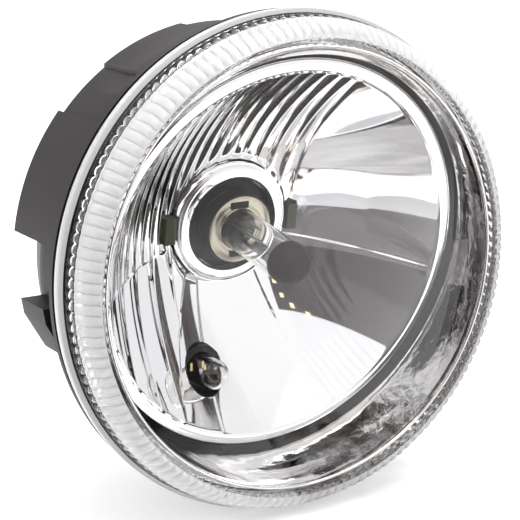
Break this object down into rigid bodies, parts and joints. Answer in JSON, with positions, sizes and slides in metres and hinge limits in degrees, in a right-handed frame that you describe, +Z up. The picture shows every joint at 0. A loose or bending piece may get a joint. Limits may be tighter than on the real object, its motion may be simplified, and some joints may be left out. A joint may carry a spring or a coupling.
{
  "type": "round vehicle front lamp",
  "caption": "Round clear-lens vehicle front lamp: ribbed rim, faceted reflector on ball pivots, twin-filament bulb, position light and aiming screw.",
  "frame": {"origin": "on the rim's axis, in the back plane of the lens flange, where the lamp seats in the vehicle's round opening", "axes": "-Y is the way the lamp faces, square to the rim; +Z is up; +X is to the right for a person looking at the lens"},
  "size_m": [0.18, 0.103, 0.18],
  "materials": {
    "clear_lens": "clear moulded polycarbonate",
    "clear_glass": "clear bulb glass, the main bulb's tip painted dark",
    "bezel_chrome": "vacuum-metallised plastic",
    "mirror_coat": "vacuum-metallised reflector",
    "collar_chrome": "bright pressed metal",
    "nickel": "nickel-plated, slightly warm",
    "spring_steel": "spring wire",
    "zinc_steel": "zinc-plated",
    "brass": "turned",
    "dark_wire": "dark drawn wire",
    "housing_plastic": "dark grey moulded, fine grain",
    "black_plastic": "black moulded",
    "olive_plastic": "olive moulded",
    "black_rubber": "matte"
  },
  "bodies": {
    "housing": {"lens": "clear_lens", "lens_seal": "black_rubber", "inner_bezel": "bezel_chrome", "rear_housing": "housing_plastic", "lug_bush_left": "zinc_steel", "lug_bush_right": "zinc_steel", "lug_bush_bottom": "zinc_steel", "vent_cap": "black_rubber", "pivot_stud_left": "zinc_steel", "pivot_stud_right": "zinc_steel", "stud_nut_left": "zinc_steel", "stud_nut_right": "zinc_steel", "screw_bush": "black_plastic"},
    "reflector_unit": {"reflector": "mirror_coat", "pivot_socket_left": "black_plastic", "pivot_socket_right": "black_plastic", "aim_nut": "black_plastic", "bulb_collar": "collar_chrome", "collar_tab_left": "olive_plastic", "collar_tab_right": "olive_plastic", "bulb_flange": "nickel", "bulb_cap": "nickel", "bulb_insulator": "black_plastic", "bulb_blade_top": "zinc_steel", "bulb_blade_left": "zinc_steel", "bulb_blade_right": "zinc_steel", "bulb_glass": "clear_glass", "filament_support_left": "dark_wire", "filament_support_middle": "dark_wire", "filament_support_right": "dark_wire", "low_beam_filament": "dark_wire", "high_beam_filament": "dark_wire", "beam_shield": "dark_wire"},
    "aiming_screw": {"aim_screw": "brass"},
    "bulb_clip": {"bulb_clip": "spring_steel"},
    "position_lamp": {"position_holder": "black_plastic", "position_bulb": "clear_glass", "position_filament": "dark_wire", "position_contact_left": "brass", "position_contact_right": "brass"}
  },
  "joints": [
    {"name": "reflector_tilt", "type": "hinge", "parent": "housing", "child": "reflector_unit", "pos_m": [0, 0.024, 0.012], "axis": [1, 0, 0], "range_deg": [-2.5, 2.5]},
    {"name": "aim_screw_turn", "type": "hinge", "parent": "housing", "child": "aiming_screw", "pos_m": [0, 0.05, -0.066], "axis": [0, 1, 0], "range_deg": [-615, 615]},
    {"name": "bulb_clip_swing", "type": "hinge", "parent": "reflector_unit", "child": "bulb_clip", "pos_m": [0, 0.04664, 0.03576], "axis": [1, 0, 0], "range_deg": [0, 100]},
    {"name": "position_holder_twist", "type": "hinge", "parent": "reflector_unit", "child": "position_lamp", "pos_m": [-0.0176, 0.04, -0.0445], "axis": [0, 1, 0], "range_deg": [0, 45]}
  ],
  "couplings": [
    {"joint": "aim_screw_turn", "follows": "reflector_tilt", "ratio": -245.04}
  ]
}
